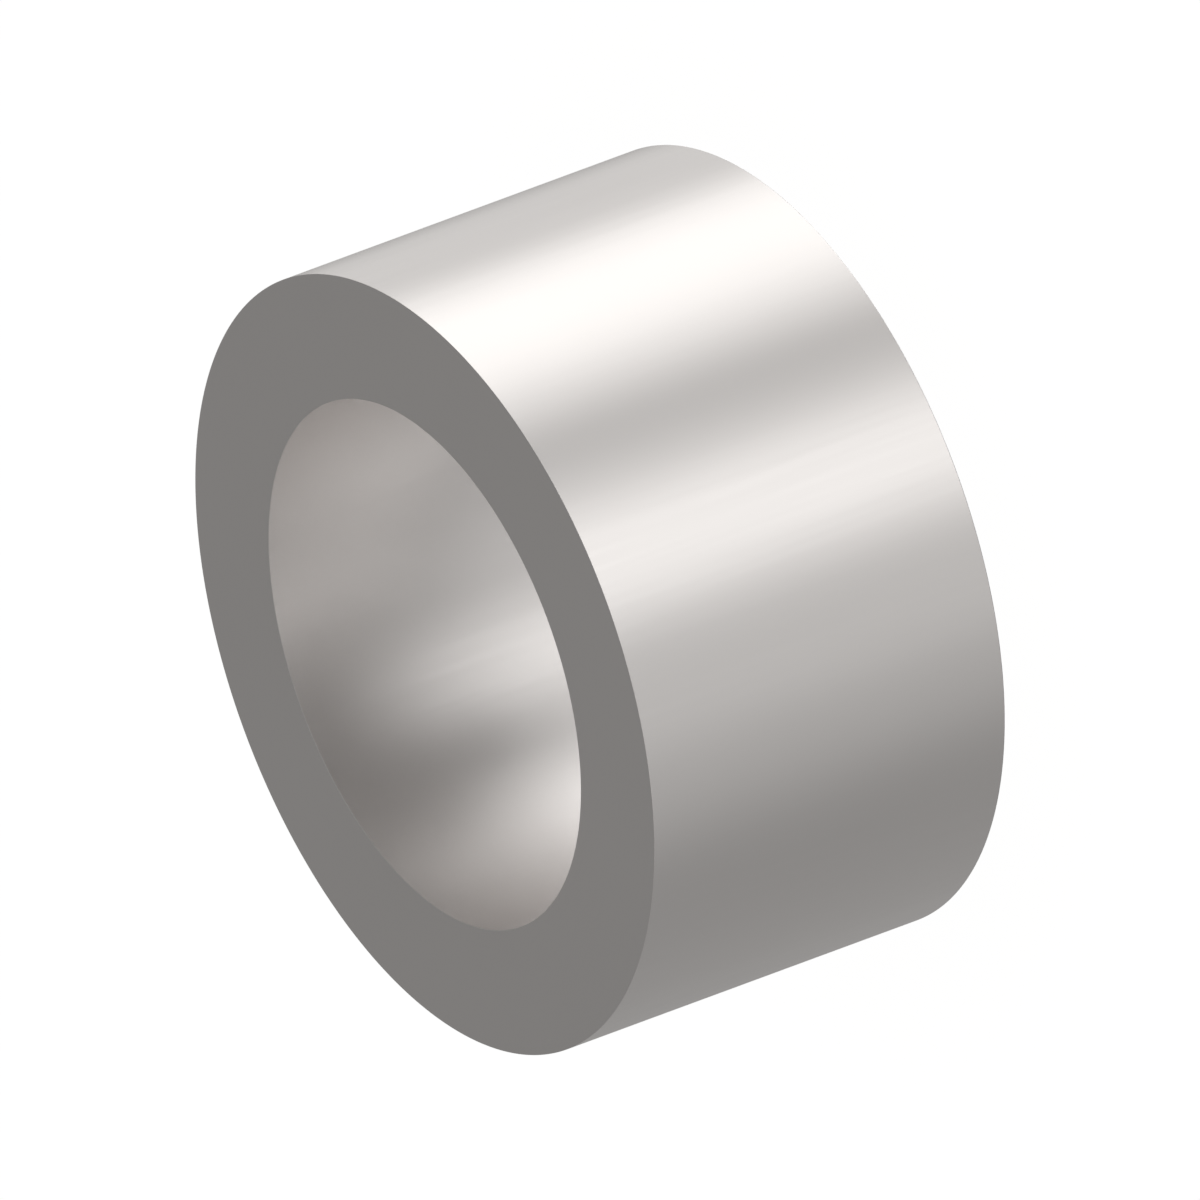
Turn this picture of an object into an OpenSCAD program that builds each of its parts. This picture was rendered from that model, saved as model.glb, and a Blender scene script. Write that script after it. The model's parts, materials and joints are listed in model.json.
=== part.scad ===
// Hinge tube: a short length of seamless steel tube, cut square at both ends.
// It stands on one end face, with its axis along +Z and the origin at the centre of that face.
// The bore turns on a hinge pin, the outside is held or welded in the hinge leaf, and each
// end face bears on the next tube of the hinge.

/* [Tube] */
// Outside diameter of the tube
outer_d = 25; // [20:0.5:40]
// Diameter of the bore, which turns on the hinge pin
bore_d = 17; // [6:0.5:18]
// Length from one end face to the other
tube_l = 12.9; // [4:0.1:60]

/* [Edges] */
// Width of the 45 degree break on the two outside edges
outer_edge_break = 0.02; // [0.01:0.01:0.4]
// Width of the 45 degree break on the two edges of the bore
bore_edge_break = 0.02; // [0.01:0.01:0.4]

/* [Hidden] */
// Radii of the two round walls
outer_r = outer_d / 2;
bore_r = bore_d / 2;
// Sides that a preview gives to a full circle
$fn = 180;

// Half of the tube's cross-section, cut along the axis: the bore wall stands on the left and
// the outside wall on the right, and each of the four corners has its edge break.
module wall_section() {
    polygon([
        [bore_r + bore_edge_break, 0],
        [outer_r - outer_edge_break, 0],
        [outer_r, outer_edge_break],
        [outer_r, tube_l - outer_edge_break],
        [outer_r - outer_edge_break, tube_l],
        [bore_r + bore_edge_break, tube_l],
        [bore_r, tube_l - bore_edge_break],
        [bore_r, bore_edge_break],
    ]);
}

// The tube: the wall section turned once round the axis.
module hinge_tube() {
    color([0.75, 0.74, 0.72])
        rotate_extrude()
            wall_section();
}

hinge_tube();
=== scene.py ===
"""Hinge tube: a short length of bare drawn steel tube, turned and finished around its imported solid.

The tube stands on one end face with its axis along +Z, on a white table in a studio of tall lights.
Lengths are in metres, unless a name ends in _mm, _um or _px. The tube's own sizes come from the
frame.
"""

import json
import logging
import math
from collections.abc import Mapping
from dataclasses import dataclass
from enum import Enum

import bpy
import numpy as np
from mathutils import Matrix, Vector


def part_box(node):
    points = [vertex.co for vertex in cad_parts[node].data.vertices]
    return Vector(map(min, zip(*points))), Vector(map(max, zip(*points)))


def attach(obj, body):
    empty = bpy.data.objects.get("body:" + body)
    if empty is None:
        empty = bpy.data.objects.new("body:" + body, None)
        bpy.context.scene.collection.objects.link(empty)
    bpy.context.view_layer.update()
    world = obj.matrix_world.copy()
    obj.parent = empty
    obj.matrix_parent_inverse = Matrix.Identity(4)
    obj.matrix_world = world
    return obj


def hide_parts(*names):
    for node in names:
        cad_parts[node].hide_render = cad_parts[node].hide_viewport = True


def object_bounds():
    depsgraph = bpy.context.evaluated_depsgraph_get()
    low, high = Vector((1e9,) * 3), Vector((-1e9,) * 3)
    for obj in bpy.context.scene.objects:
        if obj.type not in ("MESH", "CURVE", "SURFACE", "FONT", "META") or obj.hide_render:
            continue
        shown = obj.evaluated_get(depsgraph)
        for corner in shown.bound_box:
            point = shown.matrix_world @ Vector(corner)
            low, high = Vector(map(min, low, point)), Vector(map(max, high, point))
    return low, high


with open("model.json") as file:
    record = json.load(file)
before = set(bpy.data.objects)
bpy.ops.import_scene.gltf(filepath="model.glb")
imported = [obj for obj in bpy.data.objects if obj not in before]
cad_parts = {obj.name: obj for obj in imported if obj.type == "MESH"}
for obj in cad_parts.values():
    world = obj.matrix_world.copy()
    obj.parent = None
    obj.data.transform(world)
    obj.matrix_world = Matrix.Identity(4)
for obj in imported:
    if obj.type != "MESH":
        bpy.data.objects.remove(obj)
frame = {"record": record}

CAD_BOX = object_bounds()
MM = 0.001
MICRON = 0.000001
# The noise of the marks keeps mostly between these two heights.
NOISE_LOW = 0.3
NOISE_HIGH = 0.7
# The strength of a light: a plain number, or the socket that works it out.
Light = float | bpy.types.NodeSocket
WHITE = (1.0, 1.0, 1.0, 1.0)
log = logging.getLogger("hinge_tube")


class Surface(Enum):
    """The three kinds of surface on the tube. The value is the slot that holds its finish."""

    OUTER_WALL = 0
    END_FACE = 1
    BORE_WALL = 2


class Lay(Enum):
    """Which way the fine marks run that the making left on a surface."""

    ALONG_AXIS = "along the axis"
    AROUND_AXIS = "round the axis"


def linear_rgba(hex_colour: str) -> tuple[float, float, float, float]:
    """Turns an sRGB hex colour into the linear colour that Blender's sockets hold.

    The standard curve is a straight line for the darkest values and a power of 2.4 above them.

    Args:
        hex_colour: Six hex digits, with or without a leading hash.

    Returns:
        Red, green, blue and an alpha of 1, each from 0 to 1.
    """
    digits = hex_colour.lstrip("#")
    encoded = [int(digits[start:start + 2], 16) / 255 for start in (0, 2, 4)]
    red, green, blue = (
        value / 12.92 if value <= 0.04045 else ((value + 0.055) / 1.055) ** 2.4 for value in encoded
    )
    return red, green, blue, 1.0


def add_node(
    tree: bpy.types.NodeTree,
    kind: str,
    settings: Mapping[str, object] | None = None,
    inputs: Mapping[str | int, object] | None = None,
) -> bpy.types.Node:
    """Adds one node, sets its properties and fills its inputs.

    Args:
        tree: The node tree that takes the node.
        kind: Blender's type name for the node.
        settings: Property values by name.
        inputs: For each input, by name or number, a plain value or the output socket to link.

    Returns:
        The new node.
    """
    node = tree.nodes.new(kind)
    for name, value in (settings or {}).items():
        setattr(node, name, value)
    for key, value in (inputs or {}).items():
        if isinstance(value, bpy.types.NodeSocket):
            tree.links.new(value, node.inputs[key])
        else:
            node.inputs[key].default_value = value
    return node


@dataclass(frozen=True)
class SteelFinish:
    """One finish of the same bare low-carbon steel: metallic, warm grey and satin.

    The marks are the score lines that drawing or cutting leaves. Real ones lie a few hundredths of
    a millimetre apart, finer than a pixel of the picture, so they are drawn coarser here. They are
    too shallow to stand out as lines from a step away, and only break up the reflections a little.
    The stain is what is left of the drawing oil, and darkens the steel in faint patches.
    """

    name: str
    colour_hex: str
    roughness: float
    lay: Lay
    mark_spacing_mm: float = 0.15
    mark_length_mm: float = 9.0
    mark_depth_um: float = 0.03
    roughness_swing: float = 0.01
    stain_size_mm: float = 6.0
    stain_share: float = 0.02

    def marks(self, tree: bpy.types.NodeTree, place: bpy.types.NodeSocket) -> bpy.types.NodeSocket:
        """Makes noise that is fine across the marks and drawn out along them.

        Marks along the axis squeeze x and y and stretch z. Marks round the axis squeeze the radius
        and stretch x and y, which gives arcs.

        Args:
            tree: The material's node tree.
            place: The Object coordinates, in metres.

        Returns:
            A height from 0 to 1.
        """
        across, along = 1 / (self.mark_spacing_mm * MM), 1 / (self.mark_length_mm * MM)
        if self.lay is Lay.ALONG_AXIS:
            source = place
            scale = (across, across, along)
        else:
            flat = add_node(
                tree, "ShaderNodeVectorMath", {"operation": "MULTIPLY"}, {0: place, 1: (1.0, 1.0, 0.0)}
            ).outputs[0]
            radius = add_node(tree, "ShaderNodeVectorMath", {"operation": "LENGTH"}, {0: flat})
            axes = add_node(tree, "ShaderNodeSeparateXYZ", None, {0: flat})
            source = add_node(
                tree,
                "ShaderNodeCombineXYZ",
                None,
                {"X": radius.outputs["Value"], "Y": axes.outputs["X"], "Z": axes.outputs["Y"]},
            ).outputs[0]
            scale = (across, along, along)
        scaled = add_node(tree, "ShaderNodeVectorMath", {"operation": "MULTIPLY"}, {0: source, 1: scale})
        noise = add_node(
            tree,
            "ShaderNodeTexNoise",
            None,
            {"Vector": scaled.outputs[0], "Scale": 1.0, "Detail": 2.0, "Roughness": 0.5},
        )
        return noise.outputs["Fac"]

    def build(self) -> bpy.types.Material:
        """Builds the material: marks drive bump and roughness, and a faint stain drives colour.

        Returns:
            The node material.
        """
        material = bpy.data.materials.new(self.name)
        material.use_nodes = True
        tree = material.node_tree
        tree.nodes.clear()
        place = add_node(tree, "ShaderNodeTexCoord").outputs["Object"]
        marks = self.marks(tree, place)
        stain = add_node(
            tree,
            "ShaderNodeTexNoise",
            None,
            {"Vector": place, "Scale": 1 / (self.stain_size_mm * MM), "Detail": 3.0, "Roughness": 0.55},
        ).outputs["Fac"]
        clean = linear_rgba(self.colour_hex)
        stained = tuple(channel * (1 - self.stain_share) for channel in clean[:3]) + (1.0,)
        colour = add_node(
            tree,
            "ShaderNodeMix",
            {"data_type": "RGBA"},
            {"Factor": stain, "A": clean, "B": stained},
        )
        roughness = add_node(
            tree,
            "ShaderNodeMapRange",
            None,
            {
                "Value": marks,
                "From Min": NOISE_LOW,
                "From Max": NOISE_HIGH,
                "To Min": self.roughness - self.roughness_swing,
                "To Max": self.roughness + self.roughness_swing,
            },
        )
        bump = add_node(
            tree,
            "ShaderNodeBump",
            None,
            {"Height": marks, "Distance": self.mark_depth_um * MICRON, "Strength": 1.0},
        )
        steel = add_node(
            tree,
            "ShaderNodeBsdfPrincipled",
            None,
            {
                "Base Color": colour.outputs["Result"],
                "Metallic": 1.0,
                "Roughness": roughness.outputs["Result"],
                "Normal": bump.outputs["Normal"],
            },
        )
        add_node(tree, "ShaderNodeOutputMaterial", None, {"Surface": steel.outputs["BSDF"]})
        return material


@dataclass(frozen=True)
class TubeSection:
    """Half of the tube's cross-section: a rectangle between bore and outside with rounded breaks.

    The section is one closed loop. It runs up the outer wall, in over the upper end face, down the
    bore and out under the lower end face, so a turn round +Z gives faces that point outwards.
    """

    outer_radius: float
    bore_radius: float
    length: float
    edge_break: float
    break_steps: int = 5
    wall_steps: int = 16
    face_steps: int = 8

    def loop(self) -> tuple[np.ndarray, np.ndarray, np.ndarray]:
        """Works out the loop, its normals and the surface that each stretch belongs to.

        Each corner is a quarter circle of the edge break's radius, centred that far inside both of
        its neighbours, and has the finish of the wall beside it. Between two corners the points are
        evenly spaced on a straight line.

        Returns:
            Points (n, 2) as radius and height, unit normals (n, 2), and for each point the
            Surface value of the stretch that starts there.
        """
        inner, outer = self.bore_radius + self.edge_break, self.outer_radius - self.edge_break
        low, high = self.edge_break, self.length - self.edge_break
        centres = ((outer, low), (outer, high), (inner, high), (inner, low))
        starts = (-90.0, 0.0, 90.0, 180.0)
        stretches = (Surface.OUTER_WALL, Surface.END_FACE, Surface.BORE_WALL, Surface.END_FACE)
        steps = (self.wall_steps, self.face_steps, self.wall_steps, self.face_steps)
        points, normals, kinds = [], [], []
        for corner, (centre, start, kind, step) in enumerate(zip(centres, starts, stretches, steps)):
            turn = np.radians(start + np.linspace(0.0, 90.0, self.break_steps + 1))
            arc_normals = np.stack([np.cos(turn), np.sin(turn)], axis=1)
            arc = np.array(centre) + self.edge_break * arc_normals
            next_centre = np.array(centres[(corner + 1) % len(centres)])
            next_start = next_centre + self.edge_break * arc_normals[-1]
            share = np.linspace(0.0, 1.0, step + 1)[1:-1, None]
            straight = arc[-1] + share * (next_start - arc[-1])
            points += [arc, straight]
            normals += [arc_normals, np.repeat(arc_normals[-1:], len(straight), axis=0)]
            previous = stretches[corner - 1]
            wall = kind if kind is not Surface.END_FACE else previous
            kinds += [np.full(self.break_steps, wall.value), np.full(step, kind.value)]
        return np.concatenate(points), np.concatenate(normals), np.concatenate(kinds)


@dataclass
class HingeTube:
    """The whole object: one cut length of drawn steel tube with a plain through bore.

    The turn takes enough steps to keep the outline within half a micron of a true circle.
    """

    section: TubeSection
    finishes: dict[Surface, SteelFinish]
    around: int = 384

    @classmethod
    def from_frame(cls, finishes: dict[Surface, SteelFinish]) -> "HingeTube":
        """Takes the tube's sizes from its packed box and from the bore that the record states.

        Args:
            finishes: The steel finish of each surface.

        Returns:
            The tube, ready to build.
        """
        low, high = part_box("hinge_tube")
        bore = next(mount for mount in frame["record"]["mounts"] if mount["name"] == "pin_bore")
        length = high.z - low.z
        section = TubeSection(
            outer_radius=(high.x - low.x) / 2,
            bore_radius=bore["dims"]["r_mm"] * MM,
            length=length,
            edge_break=(length - bore["dims"]["length_mm"] * MM) / 2,
        )
        return cls(section, finishes)

    def mesh(self) -> bpy.types.Mesh:
        """Turns the section once round +Z into a closed mesh with exact normals.

        A point of the section at radius r and height z goes to (r cos t, r sin t, z) for evenly
        spaced angles t, and its normal turns with it.

        Returns:
            The mesh, in the frame's own place.
        """
        points, normals, kinds = self.section.loop()
        turn = np.linspace(0.0, 2 * math.pi, self.around, endpoint=False)
        cosine, sine = np.cos(turn)[None, :], np.sin(turn)[None, :]
        rings = len(points)

        def turned(half: np.ndarray) -> np.ndarray:
            """Carries points or normals of the section round the axis.

            Args:
                half: A radius and a height for each of the section's points, (n, 2).

            Returns:
                One row of x, y and z for each point at each angle.
            """
            radius, height = half[:, :1], half[:, 1:]
            spread = np.stack([radius * cosine, radius * sine, height * np.ones_like(cosine)], axis=-1)
            return spread.reshape(-1, 3)

        ring, step = np.meshgrid(np.arange(rings), np.arange(self.around), indexing="ij")
        next_ring, next_step = (ring + 1) % rings, (step + 1) % self.around
        corners = ((ring, step), (ring, next_step), (next_ring, next_step), (next_ring, step))
        quads = np.stack([row * self.around + column for row, column in corners], axis=-1).reshape(-1, 4)
        mesh = bpy.data.meshes.new("hinge_tube_turned")
        mesh.from_pydata(turned(points), [], quads, shade_flat=False)
        mesh.polygons.foreach_set("material_index", np.repeat(kinds, self.around).astype(np.int32))
        mesh.normals_split_custom_set_from_vertices(turned(normals))
        mesh.update()
        return mesh

    def build(self) -> bpy.types.Object:
        """Builds the tube, dresses it and seats it on its CAD body in place of the plain solid.

        Returns:
            The finished piece.
        """
        tube = bpy.data.objects.new("turned_tube", self.mesh())
        bpy.context.scene.collection.objects.link(tube)
        for surface in Surface:
            tube.data.materials.append(self.finishes[surface].build())
        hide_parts("hinge_tube")
        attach(tube, "root")
        return tube


@dataclass(frozen=True)
class Softbox:
    """A tall light or grey card beside the table, seen from the tube as a soft-edged strip.

    Bearings are in degrees round +Z, from 0 on the camera's side through 90 on the -X side. The
    edge is how far the strip takes to fade out on each side of its half width. Level is the light
    that it adds, where 1 is white paper.
    """

    name: str
    bearing_deg: float
    half_width_deg: float
    edge_deg: float
    level: float

    def direction(self) -> tuple[float, float, float]:
        """Gives the unit vector from the tube to the middle of the strip."""
        bearing = math.radians(self.bearing_deg)
        return -math.sin(bearing), -math.cos(bearing), 0.0

    def add(self, tree: bpy.types.NodeTree, heading: bpy.types.NodeSocket, total: Light) -> Light:
        """Adds this strip's light to a running total.

        The strip fades in smoothly with the cosine of the angle between the ray and its middle.

        Args:
            tree: The world's node tree.
            heading: The level unit vector that a ray leaves in.
            total: The light so far.

        Returns:
            The new total.
        """
        toward = add_node(
            tree, "ShaderNodeVectorMath", {"operation": "DOT_PRODUCT"}, {0: heading, 1: self.direction()}
        )
        outside = math.cos(math.radians(min(180.0, self.half_width_deg + self.edge_deg)))
        inside = math.cos(math.radians(max(0.0, self.half_width_deg - self.edge_deg)))
        strip = add_node(
            tree,
            "ShaderNodeMapRange",
            {"interpolation_type": "SMOOTHSTEP", "label": self.name},
            {
                "Value": toward.outputs["Value"],
                "From Min": outside,
                "From Max": inside,
                "To Max": self.level,
            },
        )
        both = add_node(
            tree, "ShaderNodeMath", {"operation": "ADD"}, {0: strip.outputs["Result"], 1: total}
        )
        return both.outputs[0]


@dataclass(frozen=True)
class Tier:
    """One storey of the studio: a plain wall all the way round, with softboxes in front of it."""

    wall: float
    softboxes: tuple[Softbox, ...] = ()

    def light(self, tree: bpy.types.NodeTree, heading: bpy.types.NodeSocket) -> Light:
        """Adds up the tier's wall and softboxes.

        Args:
            tree: The world's node tree.
            heading: The level unit vector that a ray leaves in.

        Returns:
            The tier's light, which is a plain number where it has no softbox.
        """
        total: Light = self.wall
        for softbox in self.softboxes:
            total = softbox.add(tree, heading, total)
        return total


@dataclass(frozen=True)
class Fade:
    """The soft line where one tier gives way to the next.

    A height here is the sine of a ray's angle over the level, from -1 straight down to 1 straight
    up.
    """

    middle: float
    half_height: float

    def rise(
        self, tree: bpy.types.NodeTree, height: bpy.types.NodeSocket, below: Light, above: Light
    ) -> Light:
        """Goes from one tier's light to the next one's over the height of the fade.

        Args:
            tree: The world's node tree.
            height: The height that a ray leaves at.
            below: The light under the fade.
            above: The light over the fade.

        Returns:
            The light of both.
        """
        return add_node(
            tree,
            "ShaderNodeMapRange",
            {"interpolation_type": "SMOOTHSTEP"},
            {
                "Value": height,
                "From Min": self.middle - self.half_height,
                "From Max": self.middle + self.half_height,
                "To Min": below,
                "To Max": above,
            },
        ).outputs["Result"]


@dataclass(frozen=True)
class Studio:
    """A round studio in storeys, drawn in the world so that the steel mirrors it.

    The tiers stand on one another from straight below the tube to straight above it, with a fade
    between each two. The lamps are a little warm, which warms the greys of the steel. The camera
    sees plain white in the studio's place.
    """

    tiers: tuple[Tier, ...]
    fades: tuple[Fade, ...]
    lamp_hex: str = "#FFFDFB"

    def build(self) -> bpy.types.World:
        """Builds the world and gives it to the scene.

        Returns:
            The world.
        """
        world = bpy.data.worlds.new("round_studio")
        world.use_nodes = True
        tree = world.node_tree
        tree.nodes.clear()
        ray = add_node(tree, "ShaderNodeTexCoord").outputs["Generated"]
        axes = add_node(tree, "ShaderNodeSeparateXYZ", None, {0: ray}).outputs
        level = add_node(tree, "ShaderNodeCombineXYZ", None, {"X": axes["X"], "Y": axes["Y"]})
        heading = add_node(
            tree, "ShaderNodeVectorMath", {"operation": "NORMALIZE"}, {0: level.outputs[0]}
        ).outputs[0]
        light = self.tiers[0].light(tree, heading)
        for fade, tier in zip(self.fades, self.tiers[1:]):
            light = fade.rise(tree, axes["Z"], light, tier.light(tree, heading))
        room = add_node(
            tree, "ShaderNodeBackground", None, {"Color": linear_rgba(self.lamp_hex), "Strength": light}
        )
        white = add_node(tree, "ShaderNodeBackground", None, {"Color": WHITE, "Strength": 1.0})
        camera_ray = add_node(tree, "ShaderNodeLightPath").outputs["Is Camera Ray"]
        shown = add_node(
            tree,
            "ShaderNodeMixShader",
            None,
            {0: camera_ray, 1: room.outputs[0], 2: white.outputs[0]},
        )
        add_node(tree, "ShaderNodeOutputWorld", None, {"Surface": shown.outputs[0]})
        bpy.context.scene.world = world
        return world


@dataclass(frozen=True)
class WhiteTable:
    """The plain white table that the tube stands on, just below its lower end face.

    The steel mirrors the studio and not the table, and from below the table can be seen through.
    Its paint reflects little of the studio's light, so the tube's shadow on it is too faint to see,
    and the glow brings what the camera sees of it up to white.
    """

    half_size: float = 0.4
    drop: float = 0.01 * MM
    paint_hex: str = "#8C8C8C"
    glow: float = 0.93

    def build(self) -> bpy.types.Object:
        """Builds the table top and marks it as stage.

        Returns:
            The table top.
        """
        reach, low = self.half_size, -self.drop
        corners = ((-reach, -reach, low), (reach, -reach, low), (reach, reach, low), (-reach, reach, low))
        mesh = bpy.data.meshes.new("white_table")
        mesh.from_pydata(corners, [], [(0, 1, 2, 3)])
        table = bpy.data.objects.new("white_table", mesh)
        bpy.context.scene.collection.objects.link(table)
        mesh.materials.append(self.paint())
        table.visible_glossy = False
        return table

    def paint(self) -> bpy.types.Material:
        """Builds the table's paint: matt, rolled on, with no gloss, so the eye gets plain white.

        Returns:
            The node material.
        """
        material = bpy.data.materials.new("matt_white_paint")
        material.use_nodes = True
        tree = material.node_tree
        tree.nodes.clear()
        matt = add_node(tree, "ShaderNodeBsdfDiffuse", None, {"Color": linear_rgba(self.paint_hex)})
        camera_ray = add_node(tree, "ShaderNodeLightPath").outputs["Is Camera Ray"]
        lift = add_node(
            tree, "ShaderNodeMath", {"operation": "MULTIPLY"}, {0: camera_ray, 1: self.glow}
        ).outputs[0]
        glow = add_node(tree, "ShaderNodeEmission", None, {"Color": WHITE, "Strength": lift})
        lit = add_node(tree, "ShaderNodeAddShader", None, {0: matt.outputs[0], 1: glow.outputs[0]})
        clear = add_node(tree, "ShaderNodeBsdfTransparent")
        from_below = add_node(tree, "ShaderNodeNewGeometry").outputs["Backfacing"]
        shown = add_node(
            tree, "ShaderNodeMixShader", None, {0: from_below, 1: lit.outputs[0], 2: clear.outputs[0]}
        )
        add_node(tree, "ShaderNodeOutputMaterial", None, {"Surface": shown.outputs[0]})
        return material


@dataclass(frozen=True)
class CatalogueCamera:
    """The camera of a catalogue view without perspective, rolled so that the tube lies on its side.

    Elevation is the angle of the view above the end face's plane. Roll turns the camera round its
    own line of sight. The picture is square and frame_px wide, and the tube's outside diameter
    covers tube_px of it.
    """

    elevation_deg: float = 27.94
    roll_deg: float = -110.24
    frame_px: float = 1200.0
    tube_px: float = 820.5
    distance: float = 0.12
    clip_near: float = 0.001
    clip_far: float = 10.0

    def build(self, centre: Vector, tube_diameter: float) -> bpy.types.Object:
        """Builds the camera and makes it the scene's own.

        Args:
            centre: The point at the middle of the picture.
            tube_diameter: The tube's real outside diameter, which sets the scale.

        Returns:
            The camera.
        """
        data = bpy.data.cameras.new("catalogue_view")
        data.type = "ORTHO"
        data.ortho_scale = tube_diameter * self.frame_px / self.tube_px
        data.clip_start, data.clip_end = self.clip_near, self.clip_far
        camera = bpy.data.objects.new("catalogue_view", data)
        tilt = Matrix.Rotation(math.radians(90.0 - self.elevation_deg), 4, "X")
        roll = Matrix.Rotation(math.radians(self.roll_deg), 4, "Z")
        turned = tilt @ roll
        backwards = turned.col[2].xyz
        camera.matrix_world = Matrix.Translation(centre + backwards * self.distance) @ turned
        bpy.context.scene.collection.objects.link(camera)
        bpy.context.scene.camera = camera
        return camera


# Bare steel tube, cold drawn: the die presses the skin smooth and scores it faintly along the
# axis. The eye gets a satin grey that mirrors the lights as long bands with soft edges. The colour
# is set to match the photograph and is paler than bare steel really is, as is the bore's.
OUTSIDE = SteelFinish(
    name="cold_drawn_outside", colour_hex="#D8D6D5", roughness=0.3, lay=Lay.ALONG_AXIS
)
# The same steel, parted off on a lathe with a fine feed and deburred, which leaves fine rings
# round the axis. The face is flat, so the eye gets one even grey.
ENDS = SteelFinish(
    name="parted_end_face", colour_hex="#D8D6D5", roughness=0.3, lay=Lay.AROUND_AXIS
)
# The inside of the same tube, where no die pressed the skin, so it is more matt. The eye gets
# broad pools of light that melt into each other from wall to wall. Its paler colour is painted
# light: nothing in the steel makes it this much paler than the outside, and it only brightens the
# bore to bring the render nearer to the photograph.
BORE_WITH_PAINTED_LIGHT = SteelFinish(
    name="cold_drawn_bore_painted_light", colour_hex="#E9E7E6", roughness=0.38, lay=Lay.ALONG_AXIS
)
FINISHES = {Surface.OUTER_WALL: OUTSIDE, Surface.END_FACE: ENDS, Surface.BORE_WALL: BORE_WITH_PAINTED_LIGHT}

# The camera looks down on the tube, so its upright walls mirror what lies below the level. That
# is where the lights stand: a foot, a wall and a belt. The upper end face mirrors the ceiling,
# which is plain, and shows it as one grey.
# The numbers of these tiers and fades weren't chosen by hand. A separate program fitted them by
# least squares to the greys of the photograph and rounded them.
FOOT = Tier(0.04, (Softbox("key_foot", -95.0, 17.5, 4.0, 2.48),))
WALL = Tier(
    0.425,
    (
        Softbox("key", -84.5, 30.0, 7.5, 0.99),
        Softbox("front", -8.0, 12.0, 12.0, 1.02),
        Softbox("right_card", -130.0, 23.0, 22.0, 0.64),
        Softbox("broad_fill", 5.0, 40.0, 7.5, 0.32),
    ),
)
BELT = Tier(
    0.351,
    (
        Softbox("front_half", -12.5, 81.5, 16.0, 0.75),
        Softbox("front_head", -21.0, 21.5, 4.0, 0.6),
        Softbox("key_head", -82.0, 16.5, 4.5, 1.0),
    ),
)
CEILING = Tier(0.302)
STUDIO = Studio(
    tiers=(FOOT, WALL, BELT, CEILING),
    fades=(Fade(-0.595, 0.03), Fade(-0.415, 0.03), Fade(-0.04, 0.045)),
)
# Light is mirrored from wall to wall down the bore this many times before it counts for nothing.
BORE_BOUNCES = 12


def main() -> None:
    """Builds the studio, the table, the tube and the camera, in that order.

    Cycles' own blur of mirrored light is off, because it would soften the bore's second mirroring.
    """
    logging.basicConfig(level=logging.INFO, format="%(name)s: %(message)s")
    scene = bpy.context.scene
    scene.view_settings.view_transform = "Standard"
    scene.cycles.glossy_bounces = BORE_BOUNCES
    scene.cycles.blur_glossy = 0.0
    world = STUDIO.build()
    log.info("%s with %d softboxes", world.name, sum(len(tier.softboxes) for tier in STUDIO.tiers))
    table = WhiteTable().build()
    log.info("%s, %.2f m square", table.name, table.dimensions.x)
    tube = HingeTube.from_frame(FINISHES)
    piece = tube.build()
    width = piece.dimensions.x / MM
    log.info("%s: %d faces, %.1f mm across", piece.name, len(piece.data.polygons), width)
    low, high = CAD_BOX
    camera = CatalogueCamera().build((low + high) / 2, 2 * tube.section.outer_radius)
    log.info("%s spans %.2f mm", camera.name, camera.data.ortho_scale / MM)


if __name__ == "__main__":
    main()
